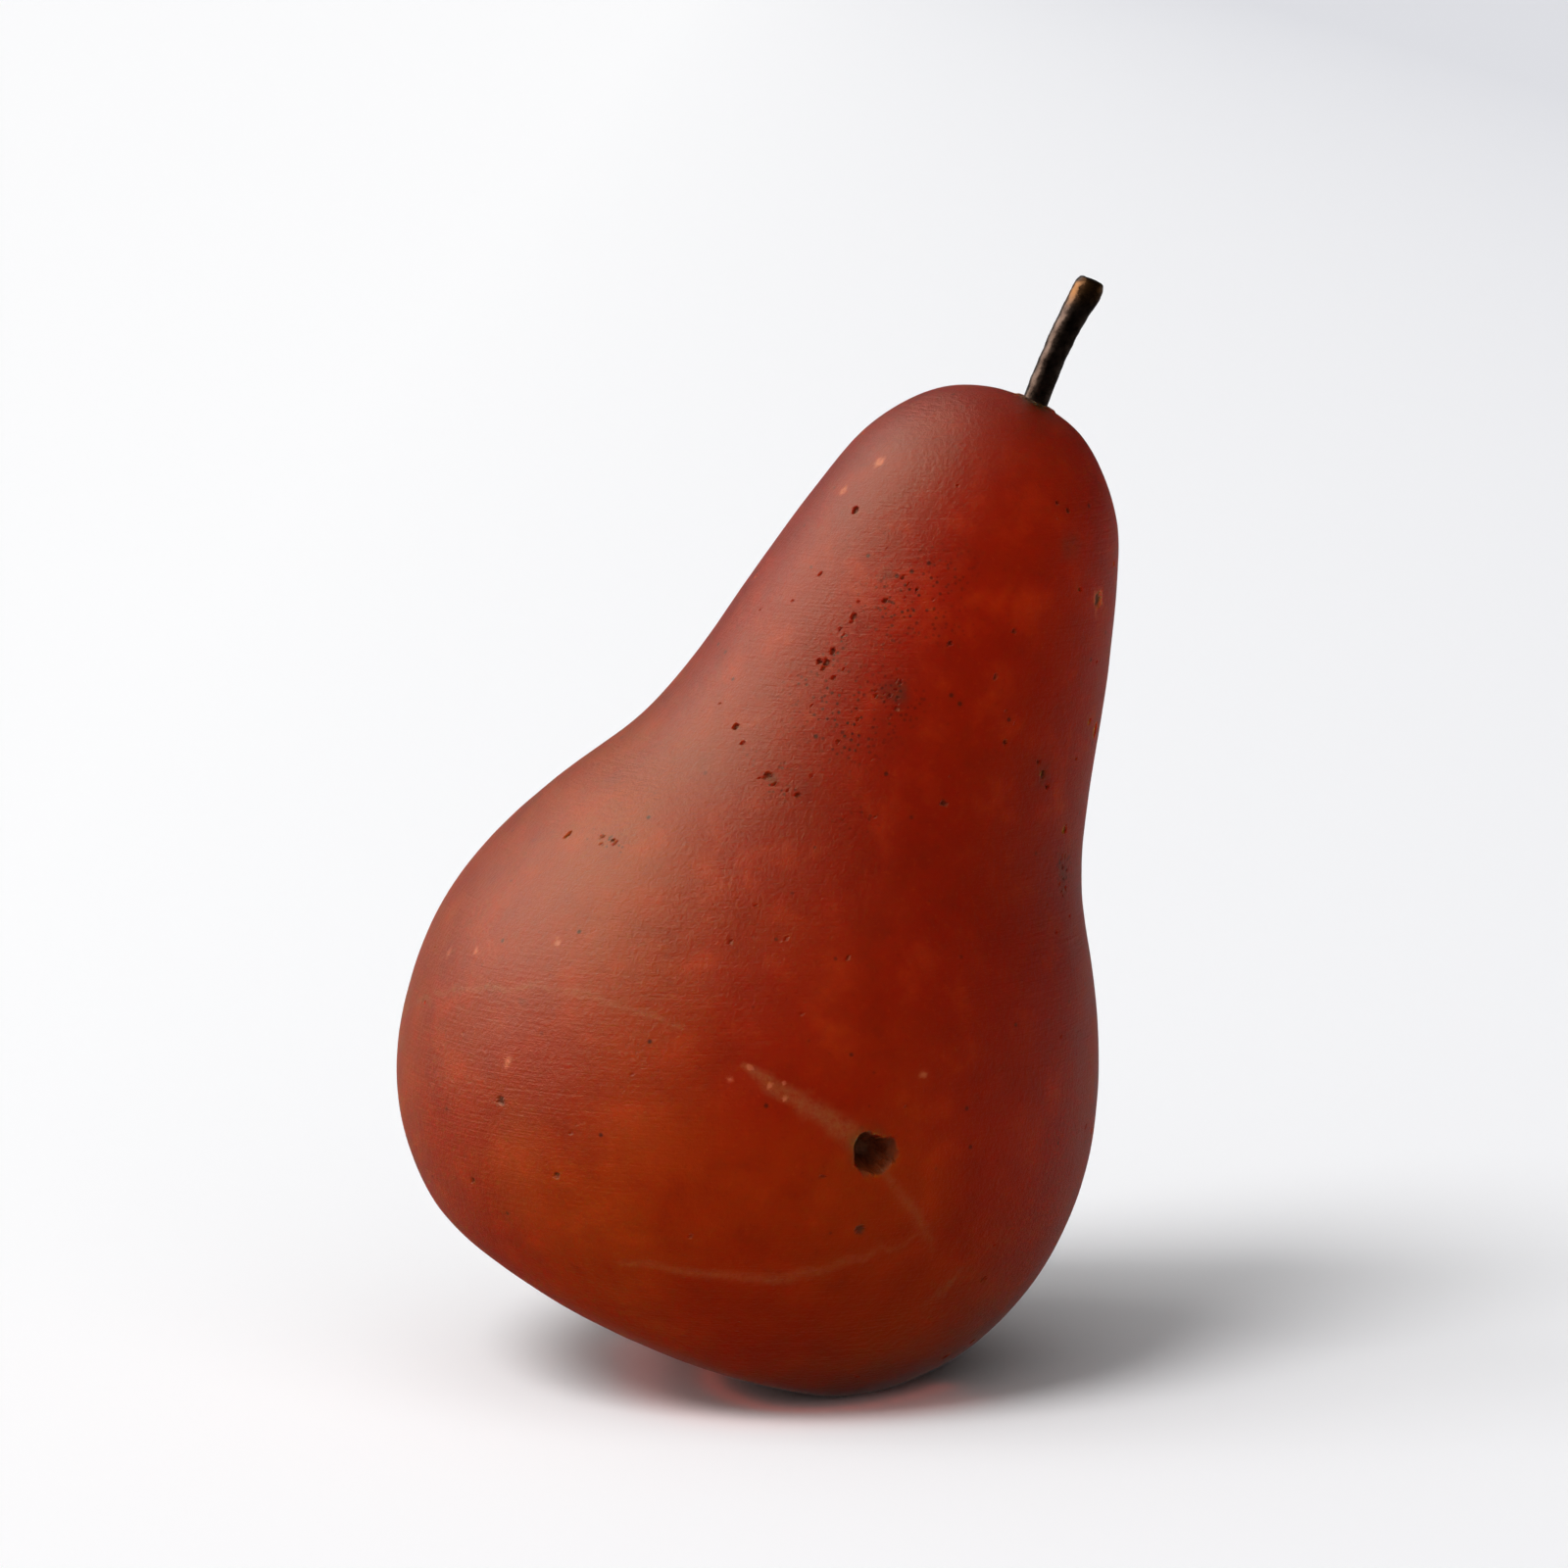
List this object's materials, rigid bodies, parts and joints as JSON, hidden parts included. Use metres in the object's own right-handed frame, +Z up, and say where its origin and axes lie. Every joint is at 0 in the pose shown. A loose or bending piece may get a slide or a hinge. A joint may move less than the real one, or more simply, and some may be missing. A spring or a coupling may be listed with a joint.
{
  "type": "ornamental pear",
  "caption": "Life-size ornamental pear of translucent red stone with a short bronze stem, leaning and resting on a small flat spot; a decorative object.",
  "frame": {"origin": "middle of the flat spot that the pear stands on, in the plane of that spot", "axes": "+Z up; +X the way the pear leans, seen from the front; +Y away from the front"},
  "size_m": [0.07, 0.0684, 0.1066],
  "materials": {
    "stone": "matte ground, translucent orange-red stone with small pits and healed hairlines",
    "bronze": "dark brown patinated bronze, satin, lighter where the cut tip has rubbed"
  },
  "bodies": {
    "root": {"pear_body": "stone", "stem": "bronze"}
  },
  "joints": []
}
